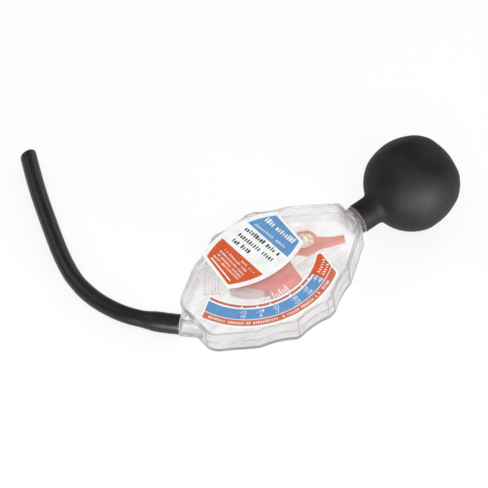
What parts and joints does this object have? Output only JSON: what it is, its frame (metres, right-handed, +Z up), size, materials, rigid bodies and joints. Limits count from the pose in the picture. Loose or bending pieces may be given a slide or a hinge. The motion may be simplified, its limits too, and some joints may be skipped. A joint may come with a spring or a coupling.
{
  "type": "antifreeze tester",
  "caption": "Dial coolant tester: clear scalloped case with a pivoted float vane and pointer, printed scale, squeeze bulb on its neck and a suction hose.",
  "frame": {"origin": "on the floor under the middle of the tester, halfway between the far end of its bulb and the end of its inlet spigot", "axes": "+Y along the tester towards its bulb, +X to the side of the scale, +Z up from the surface that it lies on, with its case pitched 7 degrees and the dial facing up"},
  "size_m": [0.169, 0.1787, 0.0454],
  "materials": {
    "clear_plastic": "clear moulded polystyrene, glossy",
    "pin_steel": "plain drawn pin",
    "float_plastic": "translucent salmon moulding",
    "weight_brass": "turned, slightly dull",
    "label_film": "white printed film",
    "scale_film": "printed film",
    "bulb_rubber": "matte black moulded rubber",
    "hose_rubber": "satin black extruded rubber"
  },
  "bodies": {
    "case": {"front_shell": "clear_plastic", "rear_shell": "clear_plastic", "pivot_pin": "pin_steel", "face_label": "label_film", "scale_label": "scale_film", "squeeze_bulb": "bulb_rubber", "suction_hose": "hose_rubber"},
    "vane": {"float_vane": "float_plastic", "counterweight": "weight_brass"}
  },
  "joints": [
    {"name": "vane_pivot", "type": "hinge", "parent": "case", "child": "vane", "pos_m": [-0.0135, -0.0236, 0.01252], "axis": [0, -0.1221, 0.9925], "range_deg": [-28, 19]}
  ]
}
